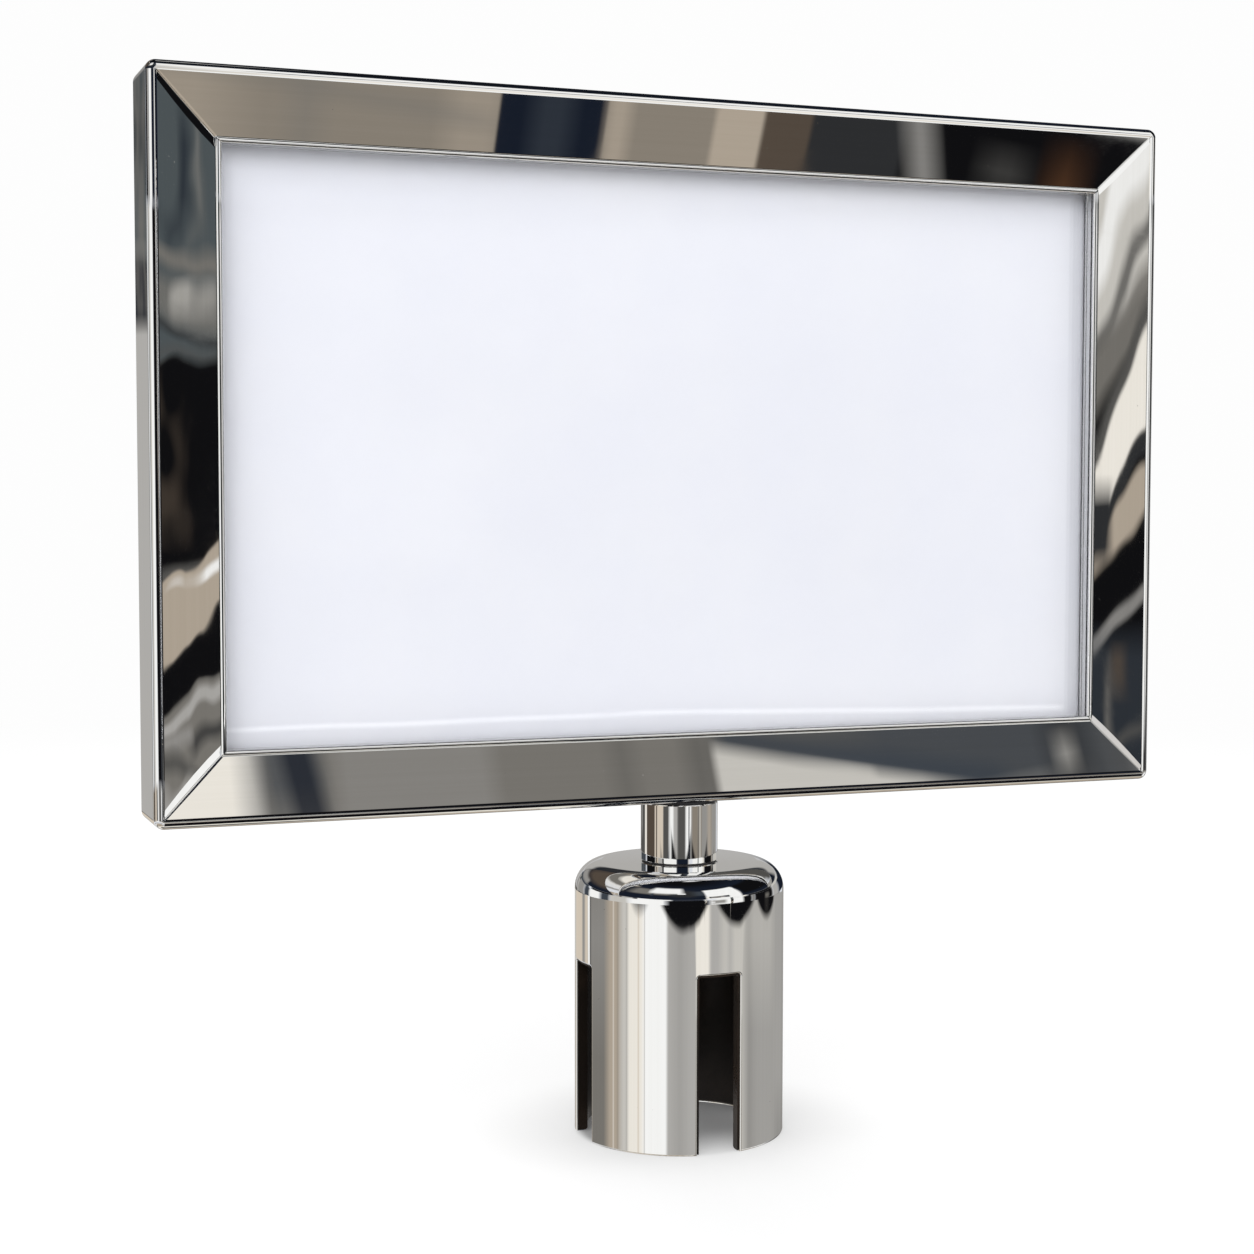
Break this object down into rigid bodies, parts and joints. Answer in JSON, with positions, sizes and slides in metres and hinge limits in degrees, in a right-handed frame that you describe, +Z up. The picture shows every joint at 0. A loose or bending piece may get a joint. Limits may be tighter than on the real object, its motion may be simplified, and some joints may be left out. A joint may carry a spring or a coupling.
{
  "type": "stanchion sign holder",
  "caption": "Landscape sign frame with a blank card between clear covers, on a swivelling neck and a slotted cap that drops over a barrier post's head.",
  "frame": {"origin": "centre of the cap's rim, on the post axis, on the plane the holder rests on", "axes": "+Z up along the post and swivel axis, +X along the sign's width, -Y out of the face seen in the picture"},
  "size_m": [0.2922, 0.058, 0.283],
  "materials": {
    "polished_metal": "mirror polished, bright",
    "black_polymer": "moulded, fine texture",
    "foam_rubber": "closed-cell foam, matt",
    "acetal": "natural acetal, turned",
    "raw_aluminium": "mill finish, sawn edges",
    "black_washer": "black nylon, satin",
    "zinc_steel": "zinc plated",
    "spring_steel": "hardened, phosphated grey",
    "clear_cover": "clear acrylic sheet, glossy",
    "white_card": "blank white card, smooth"
  },
  "bodies": {
    "cap": {"cap_shell": "polished_metal", "cap_liner": "black_polymer", "top_pad": "foam_rubber", "swivel_bushing": "acetal"},
    "frame": {"rail_top": "polished_metal", "rail_bottom": "polished_metal", "stile_left": "polished_metal", "stile_right": "polished_metal", "key_front_tl": "raw_aluminium", "key_front_tr": "raw_aluminium", "key_front_bl": "raw_aluminium", "key_front_br": "raw_aluminium", "key_rear_tl": "raw_aluminium", "key_rear_tr": "raw_aluminium", "key_rear_bl": "raw_aluminium", "key_rear_br": "raw_aluminium", "neck_tube": "polished_metal", "neck_core": "raw_aluminium", "neck_seal": "black_washer", "locating_pin": "zinc_steel", "anchor_plate": "zinc_steel", "glide_washer": "black_washer", "thrust_washer": "zinc_steel", "disc_spring_upper": "spring_steel", "disc_spring_lower": "spring_steel", "swivel_bolt": "zinc_steel"},
    "front_cover": {"cover_front": "clear_cover"},
    "card": {"sign_card": "white_card"},
    "rear_cover": {"cover_rear": "clear_cover"}
  },
  "joints": [
    {"name": "swivel", "type": "hinge", "parent": "cap", "child": "frame", "pos_m": [0, 0, 0.0752], "axis": [0, 0, 1], "continuous": true},
    {"name": "front_cover_lift", "type": "slide", "parent": "frame", "child": "front_cover", "axis": [0, 0, 1], "range_m": [0, 0.19]},
    {"name": "card_lift", "type": "slide", "parent": "frame", "child": "card", "axis": [0, 0, 1], "range_m": [0, 0.19]},
    {"name": "rear_cover_lift", "type": "slide", "parent": "frame", "child": "rear_cover", "axis": [0, 0, 1], "range_m": [0, 0.19]}
  ]
}
